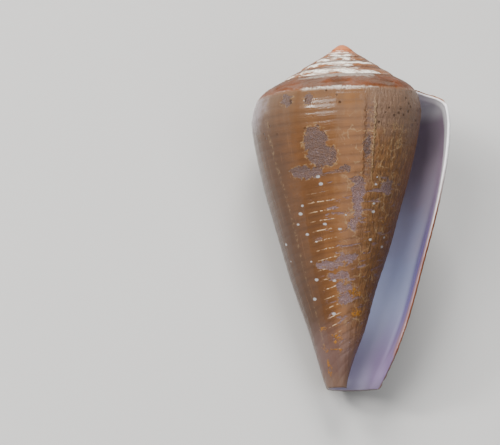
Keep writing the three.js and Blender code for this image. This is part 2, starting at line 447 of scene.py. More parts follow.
def lip_end(graph, depth, forward):
    """Whorl at which the lip ends at a depth: worn in front, drawn back at the suture."""
    worn = graph.step(depth, LIP_WEAR_START, LIP_WEAR_START + 8.0)
    sinus = SINUS * graph.step(depth, *SINUS_DEPTHS)
    ragged = CHIP_SIZE * graph.math("SINE", depth * CHIP_WAVE) * graph.math("MINIMUM", worn * 4.0, 1.0)
    worn_depth = graph.math("MAXIMUM", depth - LIP_WEAR_START, 0.0)
    length = forward - worn_depth * (LIP_WEAR / LIP_WEAR_LENGTH)
    uneven = (graph.noise(graph.vector(depth, 0.0, 0.0), 0.9, 3.0) - 0.5) * LIP_UNEVEN
    return length - sinus + ragged + uneven


def relief(graph, inputs, whorl, outline, place):
    """Height of the outer surface over the smooth outline."""
    seed = inputs["Seed"]
    flank = graph.step(outline, 9.5, 14.0)
    wander = (graph.noise(graph.vector(whorl * 9.0, outline * 0.2, seed), 1.0, 2.0) - 0.5) * 0.5
    phase = (outline / inputs["Rib Spacing"] + wander * 0.4) * (2 * math.pi)
    ribs = graph.math("COSINE", phase) * inputs["Rib Height"] * flank
    lines = graph.noise(graph.vector(whorl * 130.0, outline * 0.10, seed), 1.0, 3.0, 0.55) - 0.5
    coarse = graph.noise(graph.vector(whorl * 28.0, outline * 0.05, seed), 1.0, 2.0) - 0.5
    rough_side = graph.between(whorl, *WRINKLED_SIDE, 0.03)
    wrinkles = lines * inputs["Wrinkle Height"] * (1.0 + 1.8 * rough_side)
    swell = coarse * inputs["Wrinkle Height"] * 1.4
    grain = (graph.noise(place, 1.3, 3.0, 0.6) - 0.5) * 0.10 * rough_side
    ramp = graph.step(outline, 10.5, 8.5)
    uneven = (graph.noise(place, 0.9, 3.0, 0.55) - 0.5) * 0.30 * ramp
    return ribs + wrinkles + swell + grain + uneven


def shared_sizes(sizes):
    """Inputs that the tree of the whole shell hands on to its stretches of wall."""
    return {
        "Growth": (NUMBER, sizes.growth),
        "Wall": (NUMBER, sizes.wall),
        "Length": (NUMBER, sizes.length),
        "Rib Height": (NUMBER, sizes.rib_height),
        "Rib Spacing": (NUMBER, sizes.rib_spacing),
        "Wrinkle Height": (NUMBER, sizes.wrinkle_height),
        "Seed": (COUNT, sizes.seed),
    }


def wall_rows(graph, row, rows, inputs):
    """Share of the way down for each row, and 1 for the rows inside.

    Rows run down the outside, up the inside and close on the first one.
    """
    outer_rows = inputs["Outer Rows"]
    closing = graph.math("GREATER_THAN", row, rows - 1.5)
    is_inner = graph.math("GREATER_THAN", row, outer_rows + 0.5) * (1.0 - closing)
    down = row / outer_rows
    up = 1.0 - (row - outer_rows - 1.0) / inputs["Inner Rows"]
    share = (down * (1.0 - is_inner) + up * is_inner) * (1.0 - closing)
    return share, is_inner


def wall_columns(graph, along, share, has_edge, inputs):
    """Whorl of each column, the whorl where it ends and how full the wall is there.

    Columns run along the coil, with the last few round the lip's edge.
    """
    edge_share = ROUNDED_COLUMNS / inputs["Columns"] * has_edge
    edge = graph.math("SUBTRACT", along, 1.0 - edge_share) / graph.math("MAXIMUM", edge_share, 0.0001)
    bend = graph.math("MINIMUM", graph.math("MAXIMUM", edge, 0.0), 1.0) * LIP_BEND * has_edge
    body_share = graph.math("MINIMUM", along / (1.0 - edge_share), 1.0)
    lip_depth = OUTLINE_TOP + (inputs["Length"] - OUTLINE_TOP) * share ** OUTLINE_POWER
    end = inputs["Last Whorl"] + lip_end(graph, lip_depth, LIP_FORWARD) * has_edge
    body_end = end - inputs["Rounding"]
    whorl = inputs["First Whorl"] + (body_end - inputs["First Whorl"]) * body_share
    whorl = whorl + inputs["Rounding"] * graph.math("SINE", bend)
    return whorl, end, graph.math("COSINE", bend)


def wall_outline(graph, whorl, place):
    """Radius and slope of the outline, which grows squarer at the shoulder towards the lip."""
    older = smooth_outline(OLDER_OUTLINE, OUTLINE_SAMPLES)
    lip = smooth_outline(LIP_OUTLINE, OUTLINE_SAMPLES)
    older_radius, lip_radius = (
        graph.curve(curve_points([point.y / WIDEST for point in outline]), place)
        for outline in (older, lip))
    slopes = [slope / math.pi + 0.5 for slope in outline_slopes(older)]
    slope = (graph.curve(curve_points(slopes), place) - 0.5) * math.pi
    square = graph.step(whorl, SQUARE_START, 0.0)
    radius = (older_radius + (lip_radius - older_radius) * square) * WIDEST
    return radius, slope


def build_wall_tree(sizes):
    """Geometry Nodes tree of one stretch of the coil's wall, swept by the growth rule."""
    tree = new_geometry_tree("Coil wall", {
        "First Whorl": (NUMBER, WHORL_START),
        "Last Whorl": (NUMBER, 0.0),
        "Columns": (COUNT, WHORL_COLUMNS),
        "Outer Rows": (COUNT, WHORL_ROWS[0]),
        "Inner Rows": (COUNT, WHORL_ROWS[1]),
        "Reach": (NUMBER, OLDER_OUTLINE[-1][0]),
        "Rounding": (NUMBER, 0.0),
        **shared_sizes(sizes),
    })
    graph = Graph(tree)
    entry = tree.nodes.new("NodeGroupInput")
    inputs = {socket.name: Value(graph, socket) for socket in entry.outputs if socket.name}
    rows = inputs["Outer Rows"] + inputs["Inner Rows"] + 3.0
    grid, along, down = unit_grid(graph, inputs["Columns"], rows)
    share, is_inner = wall_rows(graph, down * (rows - 1.0), rows, inputs)
    has_edge = graph.math("GREATER_THAN", inputs["Rounding"], 0.0)
    whorl, end, fullness = wall_columns(graph, along, share, has_edge, inputs)

    scale = inputs["Growth"] ** whorl
    deepest = graph.math("MINIMUM", inputs["Reach"], inputs["Length"] / scale)
    reach = ((deepest - OUTLINE_TOP) / OUTLINE_LENGTH) ** (1 / OUTLINE_POWER)
    place = share * reach
    outline = OUTLINE_TOP + OUTLINE_LENGTH * place ** OUTLINE_POWER
    radius, slope = wall_outline(graph, whorl, place)
    angle = whorl * (2 * math.pi)
    smooth_place = graph.turned(radius * scale, outline * scale, angle)

    # The wall thins towards the lip's edge, and it is solid round the axis in front
    thin = graph.math("MINIMUM", graph.step(end - whorl, LIP_THIN_REACH, 0.0), has_edge)
    wall = inputs["Wall"] * scale * (1.0 - LIP_THINNING * thin)
    height = relief(graph, inputs, whorl, outline, smooth_place) * (1.0 - is_inner)
    under = wall * is_inner + wall * 0.5 * (1.0 - fullness) * (1.0 - 2.0 * is_inner) - height
    wall_radius = radius * scale - under * graph.math("COSINE", slope)
    wall_depth = outline * scale + under * graph.math("SINE", slope)
    solid = graph.step(whorl, *SOLID_WHORLS) * graph.step(wall_depth, *SOLID_DEPTHS) * is_inner
    wall_radius = graph.math("MAXIMUM", wall_radius * (1.0 - solid), LEAST_RADIUS)
    wall_depth = graph.math("MINIMUM", wall_depth, inputs["Length"])
    place = graph.turned(wall_radius, wall_depth, angle)
    end_tree(tree, bent_grid(graph, grid, whorl, outline, is_inner, place))
    return tree


def build_tip_tree():
    """Geometry Nodes tree of the worn tip of the spire, turned about the axis."""
    tree = new_geometry_tree("Worn tip", {"Steps": (COUNT, TIP_STEPS)})
    graph = Graph(tree)
    entry = tree.nodes.new("NodeGroupInput")
    steps = Value(graph, entry.outputs["Steps"])
    grid, around, outward = unit_grid(graph, steps + 1.0, TIP_RINGS)
    reach = outward * (1 + TIP_UNDERSIDE)
    widest = TIP_OUTLINE[-1][0]
    deepest = TIP_OUTLINE[-1][1]
    points = [(radius / widest, depth / deepest) for radius, depth in TIP_OUTLINE]
    lid = graph.math("MINIMUM", reach, 1.0)
    under = graph.math("MAXIMUM", reach - 1.0, 0.0) / TIP_UNDERSIDE
    radius = lid * widest * (1.0 - under)
    depth = graph.curve(points, lid) * deepest + under * TIP_THICKNESS
    place = graph.turned(radius, depth, around * (-2 * math.pi))
    end_tree(tree, bent_grid(graph, grid, SPIRE_START, 8.0, 0.0, place))
    return tree


def build_shell_tree(sizes):
    """Geometry Nodes tree of the whole shell: last whorl, spire and tip, laid at rest."""
    tree = new_geometry_tree("Cone shell", {
        **shared_sizes(sizes),
        "Material": ("NodeSocketMaterial", None),
    })
    graph = Graph(tree)
    entry = tree.nodes.new("NodeGroupInput")
    shared = {
        socket.name: Value(graph, socket)
        for socket in entry.outputs if socket.name and socket.name != "Material"
    }
    wall_tree = build_wall_tree(sizes)
    last_whorl = graph.node("GeometryNodeGroup", {"node_tree": wall_tree}, {
        "First Whorl": WHORL_START, "Last Whorl": 0.0, "Columns": WHORL_COLUMNS,
        "Outer Rows": WHORL_ROWS[0], "Inner Rows": WHORL_ROWS[1],
        "Rounding": LIP_ROUNDING, **shared,
    })
    spire = graph.node("GeometryNodeGroup", {"node_tree": wall_tree}, {
        "First Whorl": SPIRE_START, "Last Whorl": WHORL_START, "Columns": SPIRE_COLUMNS,
        "Outer Rows": SPIRE_ROWS[0], "Inner Rows": SPIRE_ROWS[1],
        "Reach": SPIRE_REACH, "Rounding": 0.0, **shared,
    })
    tip = graph.node("GeometryNodeGroup", {"node_tree": build_tip_tree()}, {"Steps": TIP_STEPS})
    joined = graph.node("GeometryNodeJoinGeometry")
    for part in (last_whorl, spire, tip):
        tree.links.new(part.socket, joined.socket.node.inputs[0])
    placed = graph.node(
        "GeometryNodeStoreNamedAttribute", {"data_type": "FLOAT_VECTOR", "domain": "POINT"},
        {"Geometry": joined, "Name": "shell_place", "Value": graph.node("GeometryNodeInputPosition")})
    pose = rest_matrix()
    laid = graph.node("GeometryNodeTransform", None, {
        "Geometry": placed,
        "Translation": MM * pose.translation,
        "Rotation": pose.to_euler("XYZ"),
        "Scale": (MM, MM, MM),
    })
    real = graph.node("GeometryNodeRealizeInstances", None, {"Geometry": laid})
    painted = graph.node("GeometryNodeSetMaterial", None, {
        "Geometry": real, "Material": Value(graph, entry.outputs["Material"]),
    })
    end_tree(tree, painted)
    return tree


def grow(tree, settings):
    """Runs a Geometry Nodes tree and keeps its result as a plain mesh."""
    empty = bpy.data.meshes.new("growing")
    holder = bpy.data.objects.new("growing", empty)
    bpy.context.collection.objects.link(holder)
    modifier = holder.modifiers.new("Growth", "NODES")
    modifier.node_group = tree
    for socket in tree.interface.items_tree:
        if socket.in_out == "INPUT" and socket.name in settings:
            modifier[socket.identifier] = settings[socket.name]
    shown = holder.evaluated_get(bpy.context.evaluated_depsgraph_get())
    mesh = bpy.data.meshes.new_from_object(shown)
    holder.modifiers.clear()
    bpy.data.objects.remove(holder)
    bpy.data.meshes.remove(empty)
    return mesh


def zip_rows(shape, first, second, order):
    """Joins two rows of vertices that run side by side with triangles."""
    i = 0
    j = 0
    while i < len(first) - 1 or j < len(second) - 1:
        first_left = i < len(first) - 1
        second_left = j < len(second) - 1
        if first_left and (not second_left or first[i + 1][order] < second[j + 1][order]):
            shape.faces.new((first[i], first[i + 1], second[j]))
            i += 1
        else:
            shape.faces.new((first[i], second[j + 1], second[j]))
            j += 1


def close_mesh(mesh, material):
    """Closes the lip's edge and the hidden ends, and returns how many edges stay open."""
    shape = bmesh.new()
    shape.from_mesh(mesh)
    whorl, outline, inside = (
        shape.verts.layers.float[name] for name in ("whorl", "outline", "inside"))
    rim = [vertex for vertex in shape.verts if vertex.is_boundary and vertex[whorl] > SQUARE_START]
    rim.sort(key=lambda vertex: vertex[outline])
    outer_rim = [vertex for vertex in rim if vertex[inside] < 0.5]
    inner_rim = [vertex for vertex in rim if vertex[inside] > 0.5]
    zip_rows(shape, outer_rim, inner_rim, outline)
    open_edges = [edge for edge in shape.edges if edge.is_boundary]
    bmesh.ops.holes_fill(shape, edges=open_edges, sides=0)
    bmesh.ops.recalc_face_normals(shape, faces=shape.faces)
    left = sum(1 for edge in shape.edges if edge.is_boundary)
    for face in shape.faces:
        face.material_index = 0
    shape.to_mesh(mesh)
    shape.free()
    mesh.materials.clear()
    mesh.materials.append(material)
    mesh.shade_smooth()
    return left


# Materials


def oval_distances(graph, place, squeeze, centres):
    """Distances to some ovals of one shape, in a frame squeezed so that they are round."""
    squeezed = graph.vector_math("MULTIPLY", place, squeeze)
    return [
        graph.vector_math("DISTANCE", squeezed, on_coil(*centre) * squeeze, out="Value")
        for centre in centres
    ]


def mark_distance(graph, place, marks):
    """Distance to the nearest of some oval marks, 1 at their rims."""
    distances = []
    for whorl, depth, half_width, half_height in marks:
        squeeze = Vector((1 / half_width, 1 / half_height, 1 / half_width))
        distances += oval_distances(graph, place, squeeze, [(whorl, depth)])
    return graph.least(distances)


def new_material(name):
    material = bpy.data.materials.new(name)
    material.use_nodes = True
    nodes = material.node_tree.nodes
    shader = next(node for node in nodes if node.type == "BSDF_PRINCIPLED")
    return material, Graph(material.node_tree), shader


class ShellSurface:
    """Places, noises and marks on the shell that its colours and its fine relief share."""

    def __init__(self, graph, sizes):
        self.graph = graph
        self.find_place()
        self.find_noises(sizes)
        self.find_growth_marks()
        self.find_wear()
        self.find_small_marks()

    def find_place(self):
        graph = self.graph
        self.place = graph.node("ShaderNodeAttribute", {"attribute_name": "shell_place"}, out="Vector")
        self.whorl, self.outline, self.inside = (
            graph.node("ShaderNodeAttribute", {"attribute_name": name}, out="Fac")
            for name in ("whorl", "outline", "inside"))
        split = graph.node("ShaderNodeSeparateXYZ", None, {0: self.place})
        self.depth = split.other("Y") * -1.0
        self.flank = graph.step(self.outline, 8.9, 10.2)
        self.ramp = 1.0 - self.flank
        self.outside = 1.0 - self.inside
        glazed = graph.step(self.whorl, -1.0, -1.03) * graph.step(self.outline, 9.6, 11.0)
        self.enamelled = graph.math("MAXIMUM", self.inside, glazed)

    def find_noises(self, sizes):
        graph = self.graph
        self.broad = graph.noise(self.place, 0.16, 3.0)
        self.patchy = graph.noise(self.place, 0.45, 4.0, 0.6)
        self.fine = graph.noise(self.place, 2.2, 4.0, 0.6)
        self.speckle = graph.noise(self.place, 6.0, 3.0, 0.6)
        self.streaks = self.drawn_noise(60.0, 0.06, 0.0, 4.0, 0.6)
        jitter = graph.noise(self.place, 0.9, 3.0, 0.55, 0.6).other("Color")
        self.jitter = graph.vector_math("SUBTRACT", jitter, (0.5, 0.5, 0.5))
        rib_turns = self.outline / sizes.rib_spacing + (self.broad - 0.5) * 0.5
        self.rib_phase = rib_turns * (2 * math.pi)
        self.rib_wave = graph.math("COSINE", self.rib_phase) * 0.5 + 0.5

    def drawn_noise(self, per_whorl, per_outline, seed, detail, roughness=0.5, distortion=0.0):
        """Noise that is drawn out along the growth lines or along the spiral."""
        place = self.graph.vector(self.whorl * per_whorl, self.outline * per_outline, seed)
        return self.graph.noise(place, 1.0, detail, roughness, distortion)

    def shifted_place(self, reach):
        """Place with a jitter of up to half a reach, in millimetres, for ragged rims."""
        return self.graph.vector_math("MULTIPLY_ADD", self.jitter, (reach, reach, reach), self.place)

    def zone(self, whorls, whorl_soft, depths, depth_soft):
        """1 between two whorls and two depths, with soft edges."""
        along = self.graph.between(self.whorl, *whorls, whorl_soft)
        return along * self.graph.between(self.depth, *depths, depth_soft)

    def find_growth_marks(self):
        graph = self.graph
        rough = graph.between(self.whorl + (self.patchy - 0.5) * 0.12, *ROUGH_SIDE, 0.035)
        self.rough = rough * graph.step(self.depth, 46.0, 38.0) * self.flank
        self.wrinkles = self.drawn_noise(150.0, 0.55, 5.0, 4.0, 0.65, 0.3)
        self.wander = self.whorl + (self.fine - 0.5) * 0.012
        upper = graph.between(self.depth, *RIDGE_DEPTHS, 1.5)
        self.groove = graph.between(self.wander, *MAUVE_GROOVE, 0.004) * upper
        self.ridge = graph.between(self.wander, *PALE_RIDGE, 0.0015) * upper

    def find_wear(self):
        """Worn patches and flecks, with the net of fine cracks in them."""
        graph = self.graph
        self.patch_reach = mark_distance(graph, self.shifted_place(2.6), WORN_PATCHES)
        patches = graph.step(self.patch_reach, 1.02, 0.90)
        flecks = graph.step(self.drawn_noise(16.0, 1.1, 1.0, 4.0, 0.6, 0.4), 0.59, 0.63)
        flecks = flecks * self.zone(FLECKS, 0.03, FLECK_DEPTHS, 2.0)
        self.worn = graph.math("MAXIMUM", patches, flecks) * self.outside
        cracks = graph.node(
            "ShaderNodeTexVoronoi", {"feature": "DISTANCE_TO_EDGE"}, {"Vector": self.place, "Scale": 2.6})
        self.net = graph.step(cracks, 0.13, 0.03)

    def find_small_marks(self):
        """White dots, painted highlight lines on the ribs, dark pits and orange crusts."""
        graph = self.graph
        dot_reach = graph.least(
            oval_distances(graph, self.shifted_place(0.25), DOT_STRETCH, WHITE_DOTS))
        self.dots = graph.step(dot_reach + (self.patchy - 0.5) * 0.7, 0.33, 0.14) * self.outside
        # Painted highlight: cream lines on the rib crests, in the zone where the lights glint on the ribs
        painted_glints = graph.step(self.rib_wave, 0.95, 0.995) * graph.between(self.whorl, *PAINTED_GLINT_WHORLS, 0.012)
        painted_glints = painted_glints * graph.between(self.depth, *PAINTED_GLINT_DEPTHS, 1.0)
        self.painted_glints = painted_glints * graph.step(self.fine, 0.42, 0.55)
        cells = graph.node("ShaderNodeTexVoronoi", {"feature": "F1"}, {"Vector": self.place, "Scale": 0.95})
        chance = graph.step(graph.noise(self.place, 0.35, 2.0), 0.47, 0.53)
        pits = graph.step(cells, 0.24, 0.15) * chance
        self.pits = pits * graph.between(self.outline, *PIT_OUTLINES, 1.0) * self.outside
        zone = graph.step(mark_distance(graph, self.shifted_place(2.6), ORANGE_CRUSTS), 1.4, 0.9)
        worms = graph.math("ABSOLUTE", graph.noise(self.place, 1.6, 2.0, 0.5, 1.2) - 0.5)
        self.crusts = graph.step(worms, 0.07, 0.04) * zone * self.outside


def body_paint(on, colours):
    """Brown, with faint spiral bands and growth streaks, painted shade on the left side, and mauve at the
    front end.
    """
    graph = on.graph
    bands = on.drawn_noise(14.0, 0.03, 3.0, 3.0)
    paint = graph.mix(graph.step(bands, 0.36, 0.64), colours.body, colours.body_dark)
    paint = graph.mix(graph.step(on.patchy, 0.45, 0.75) * 0.5, paint, colours.body_light)
    paint = graph.mix(graph.step(on.streaks, 0.58, 0.78) * 0.35, paint, colours.body_light)
    lines = graph.step(on.rib_wave, 0.55, 0.0) * graph.step(on.broad, 0.3, 0.7) * on.flank
    paint = graph.mix(lines * 0.5, paint, colours.body_line)
    # Painted shade: the left side of the last whorl is painted a dark greyish brown, partly its greyer tone
    # and partly the shade of that edge
    side = graph.step(on.whorl + (on.patchy - 0.5) * 0.1, -0.76, -0.56)
    side = side * graph.step(on.whorl, -0.30, -0.42)
    paint = graph.mix(side * 0.85, paint, colours.painted_side_shade)
    upper = graph.step(on.outline, 20.0, 10.0) * (0.45 + 0.55 * graph.step(on.streaks, 0.35, 0.6))
    paint = graph.mix(upper * 0.7, paint, colours.body_upper)
    base = graph.step(on.depth + (on.patchy - 0.5) * 5.0, *BASE_DEPTHS)
    paint = graph.mix(base * 0.85, paint, colours.base)
    base_tip = graph.step(on.depth + (on.fine - 0.5) * 4.0, *BASE_TIP_DEPTHS)
    return graph.mix(base_tip * 0.5, paint, colours.base_tip)


def rough_paint(on, colours, paint):
    """Wrinkled yellow brown over the older side of the aperture."""
    graph = on.graph
    aged = graph.mix(graph.step(on.wrinkles, 0.35, 0.6), colours.aged_dark, colours.aged)
    upper = graph.step(on.outline + (on.patchy - 0.5) * 8.0, 22.0, 15.0)
    aged = graph.mix(upper, aged, colours.aged_upper)
    aged = graph.mix(graph.step(on.wrinkles, 0.6, 0.72) * 0.6, aged, colours.aged_light)
    return graph.mix(on.rough * 0.85, paint, aged)


def growth_paint(on, colours, paint):
    """A pale ridge beside a mauve groove, pale lines, a lilac scar and thin veins."""
    graph = on.graph
    groove = on.groove * graph.step(on.fine, 0.35, 0.6)
    paint = graph.mix(groove * 0.6, paint, colours.worn)
    ridge = on.ridge * graph.step(on.speckle, 0.4, 0.55)
    paint = graph.mix(ridge * 0.7, paint, colours.aged_light)
    drift = graph.step(on.depth, 12.0, 26.0) * PALE_LINE_DRIFT
    line = graph.between(on.wander + drift, *PALE_LINE, 0.003) * graph.step(on.fine, 0.45, 0.7)
    paint = graph.mix(line * 0.35, paint, colours.aged_light)
    thin_lines = graph.step(on.drawn_noise(300.0, 0.12, 9.0, 2.0), 0.66, 0.72)
    paint = graph.mix(thin_lines * 0.35 * on.flank, paint, colours.body_light)
    scar = graph.between(on.whorl + (on.patchy - 0.5) * 0.1, *SCAR, 0.05)
    scar = scar * graph.between(on.depth + (on.fine - 0.5) * 3.0, *SCAR_DEPTHS, 2.0)
    paint = graph.mix(scar * 0.65, paint, colours.scar)

    bend = graph.noise(on.place, 0.8, 3.0).other("Color")
    bent_place = graph.vector_math("MULTIPLY_ADD", bend, (1.6, 1.6, 1.6), on.place)
    stretched = graph.vector_math("MULTIPLY", bent_place, (1.0, 0.62, 1.0))
    edges = graph.node(
        "ShaderNodeTexVoronoi", {"feature": "DISTANCE_TO_EDGE"}, {"Vector": stretched, "Scale": 0.62})
    veins = graph.step(edges, 0.045, 0.015) * on.zone(VEINS, 0.02, VEIN_DEPTHS, 2.0)
    veins = veins * graph.step(on.patchy, 0.47, 0.53)
    return graph.mix(veins * 0.5, paint, colours.aged_light)


def worn_paint(on, colours, paint):
    """Purple grey worn patches with yellowish rims, and mauve stains lower down."""
    graph = on.graph
    grain = graph.step(on.speckle, 0.25, 0.75) * 0.6 + 0.3
    patches = graph.mix(grain, colours.worn_dark, colours.worn)
    patches = graph.mix(on.net * 0.45, patches, colours.worn_light)
    stains = graph.mix(on.streaks, colours.worn, colours.stain)
    patches = graph.mix(graph.step(on.depth, 18.5, 24.0), patches, stains)
    cover = on.worn * (0.55 + 0.3 * graph.step(on.fine, 0.35, 0.6))
    paint = graph.mix(cover, paint, patches)
    rims = graph.between(on.patch_reach, 1.0, 1.12, 0.04) * graph.step(on.fine, 0.4, 0.6) * on.outside
    return graph.mix(rims * 0.55, paint, colours.aged_light)


def small_mark_paint(on, colours, paint):
    """White dots, painted highlight lines on the ribs, dark pits and orange crusts."""
    graph = on.graph
    marks = [
        (on.dots * 0.8, colours.dot),
        # The glint colour is a painted highlight
        (on.painted_glints * 0.75 * (1.0 - on.worn), colours.glint),
        (on.pits * 0.85, colours.pit),
        (on.crusts * 0.9, colours.crust),
    ]
    for share, colour in marks:
        paint = graph.mix(share, paint, colour)
    return paint


def spire_paint(on, colours):
    """Cream with brown flames, denser on the sides and the right as painted shade, a brown suture and a
    pinkish tip.
    """
    graph = on.graph
    # Painted light and shade: the flames follow a noise, but they are thinned where the spire faces the
    # camera and thickened on its sides and its right side, away from the key light
    painted_light_facing = graph.math("COSINE", (on.whorl + 0.75) * (4 * math.pi))
    painted_shade_right_side = graph.math("COSINE", on.whorl * (2 * math.pi))
    flame_noise = on.drawn_noise(9.0, 0.5, 7.0, 4.0, 0.6, 0.4)
    flames = graph.step(flame_noise - painted_light_facing * 0.09 + painted_shade_right_side * 0.05, 0.38, 0.49)
    paint = graph.mix(flames * 0.95, colours.spire, colours.flame)
    paint = graph.mix(graph.step(on.fine, 0.45, 0.65) * flames * 0.6, paint, colours.flame_dark)
    paint = graph.mix(graph.step(on.fine, 0.52, 0.42) * 0.35, paint, colours.flame)
    suture = graph.step(on.outline + (on.fine - 0.5) * 0.6, 7.6, 7.0)
    paint = graph.mix(suture * 0.8, paint, colours.flame_dark)
    return graph.mix(graph.step(on.depth, 2.0, 0.6) * 0.85, paint, colours.apex)


def shoulder_paint(on, colours, paint):
    """Blotched orange brown band below the suture of the last whorl."""
    graph = on.graph
    blotches = graph.step(on.drawn_noise(20.0, 0.3, 2.0, 4.0, 0.6), 0.4, 0.65)
    band_colour = graph.mix(blotches, colours.shoulder, colours.flame_dark)
    band = graph.between(on.outline + (on.fine - 0.5) * 0.9, *SHOULDER_OUTLINES, 0.25)
    newest = graph.step(on.whorl, -1.28, -1.2) * graph.step(on.whorl, -0.42, -0.52)
    return graph.mix(band * newest * 0.95, paint, band_colour)


def inside_paint(on, colours):
    """Blue grey inside, painted brighter deep in and darker next to the lip to even out the light, violet
    behind the lip and white at the lip's upper edge.
    """
    graph = on.graph
    # Painted light and shade: the deeper inside, shaded by the body whorl, is painted a brighter blue, and
    # the lit part next to the lip a darker one
    near_lip = graph.step(on.whorl, -0.17, -0.08)
    blue = graph.mix(near_lip, colours.inside, colours.inside_painted_dim_near_lip)
    front = graph.step(on.depth + (on.broad - 0.5) * 14.0, 16.0, 34.0)
    paint = graph.mix(front, colours.inside_deep, blue)
    violet = graph.mix(graph.step(on.depth, 16.0, 30.0), colours.violet_upper, colours.violet)
    paint = graph.mix(graph.step(on.whorl, *BEHIND_LIP) * 0.9, paint, violet)
    base_share = graph.step(on.depth, 36.0, 46.0) * (0.75 + 0.15 * near_lip)
    paint = graph.mix(base_share, paint, colours.inside_base)
    rim_start = 0.010 - 0.030 * graph.step(on.depth, 20.0, 8.5)
    rim = graph.step(on.whorl + (on.fine - 0.5) * 0.006 - rim_start, -0.004, 0.008)
    rim_colour = graph.mix(graph.step(on.depth, 16.0, 32.0), colours.rim, colours.rim_front)
    head = graph.step(on.outline, 11.0, 8.0)
    return graph.mix(graph.math("MAXIMUM", rim, head) * 0.95, paint, rim_colour)


def outer_rim_paint(on, colours, paint):
    """The outside of the lip's edge: white above and orange brown below."""
    graph = on.graph
    rim_colour = graph.mix(graph.step(on.depth, 14.0, 26.0), colours.rim, colours.shoulder)
    return graph.mix(graph.step(on.whorl, 0.010, 0.024) * 0.85, paint, rim_colour)


def dullness(on):
    """1 where the surface is worn, crusted or rough, and 0 on the smooth glaze."""
    dull = on.rough * 0.8
    for mark in (on.ramp, on.worn, on.crusts):
        dull = on.graph.math("MAXIMUM", dull, mark)
    return dull * (1.0 - on.enamelled)


def fine_relief(on):
    """Height in millimetres of relief that is too small for the mesh."""
    graph = on.graph
    lines = graph.step(on.rib_wave, 0.14, 0.0) * on.flank
    threads = graph.math("COSINE", on.rib_phase * 4.0) * 0.5 + 0.5
    grain = on.fine - 0.5
    height = lines * -0.012 + threads * 0.005 * on.flank + on.painted_glints * 0.02
    height = height + (on.ridge - on.groove) * 0.12 + (on.streaks - 0.5) * 0.05
    height = height + grain * (0.02 + 0.05 * on.rough + 0.12 * on.ramp)
    height = height + (on.wrinkles - 0.5) * 0.30 * on.rough
    height = height + on.worn * (-0.07 + (on.speckle - 0.5) * 0.12 + on.net * 0.06)
    height = height + on.pits * -0.08 + on.crusts * 0.05
    return height * (1.0 - on.enamelled) + on.enamelled * (on.streaks - 0.5) * 0.012


def shell_material(colours, sizes):
    """Glossy brown shell with spiral lines, cream spire, worn patches and a blue inside."""
    material, graph, shader = new_material("Grown surface")
    on = ShellSurface(graph, sizes)
    body = body_paint(on, colours)
    for layer in (rough_paint, growth_paint, worn_paint, small_mark_paint):
        body = layer(on, colours, body)
    outer = graph.mix(on.ramp, body, spire_paint(on, colours))
    outer = shoulder_paint(on, colours, outer)
    outer = outer_rim_paint(on, colours, outer)
    colour = graph.mix(on.enamelled, outer, inside_paint(on, colours))
    roughness = SMOOTH_ROUGHNESS + DULL_ROUGHNESS * dullness(on) + (on.fine - 0.5) * GRAIN_ROUGHNESS
    bump = graph.node("ShaderNodeBump", None, {"Strength": 1.0, "Distance": MM, "Height": fine_relief(on)})
    links = material.node_tree.links
    links.new(colour.socket, shader.inputs["Base Color"])
    links.new(roughness.socket, shader.inputs["Roughness"])
    links.new(bump.socket, shader.inputs["Normal"])
    shader.inputs["IOR"].default_value = GLAZE_IOR
    shader.inputs["Coat Roughness"].default_value = COAT_ROUGHNESS
    shader.inputs["Coat Weight"].default_value = COAT_WEIGHT
    return material


def floor_material(colours):
    """Plain pale studio floor."""
    material, graph, shader = new_material("Studio floor")
    place = graph.node("ShaderNodeTexCoord", out="Object")
    clouds = graph.noise(place, 6.0, 3.0)
    shade = graph.mix(clouds * 0.15, colours.floor, [0.94 * part for part in colours.floor])
    material.node_tree.links.new(shade.socket, shader.inputs["Base Color"])
    shader.inputs["Roughness"].default_value = FLOOR_ROUGHNESS
    return material


# Settings that a user would change


def colour_property(name, description, default):
    return FloatVectorProperty(
        name=name, description=description, default=default, subtype="COLOR",
        size=3, min=0.0, max=1.0)


class ConeShellSizes(bpy.types.PropertyGroup):
    """Sizes of the shell, in millimetres unless a description says otherwise."""

    growth: FloatProperty(
        name="Growth per whorl", description="Factor by which every size grows in one turn",
        default=1.36, min=1.1, max=2.0)
    length: FloatProperty(
        name="Length", description="Apex to the worn front end, in millimetres",
        default=49.8, min=20.0, max=90.0)
    wall: FloatProperty(
        name="Wall", description="Thickness of the wall behind the lip, in millimetres",
        default=0.8, min=0.2, max=3.0)
    rib_spacing: FloatProperty(
        name="Rib spacing", description="Distance between spiral ribs at the lip, in millimetres",
        default=1.64, min=0.3, max=6.0)
    rib_height: FloatProperty(
        name="Rib height", description="Height of the spiral ribs, in millimetres",
        default=0.014, min=0.0, max=0.5)
    wrinkle_height: FloatProperty(
        name="Wrinkle height", description="Height of the growth wrinkles, in millimetres",
        default=0.07, min=0.0, max=0.5)
    seed: IntProperty(name="Seed", description="Pattern of the growth wrinkles", default=4, min=0)


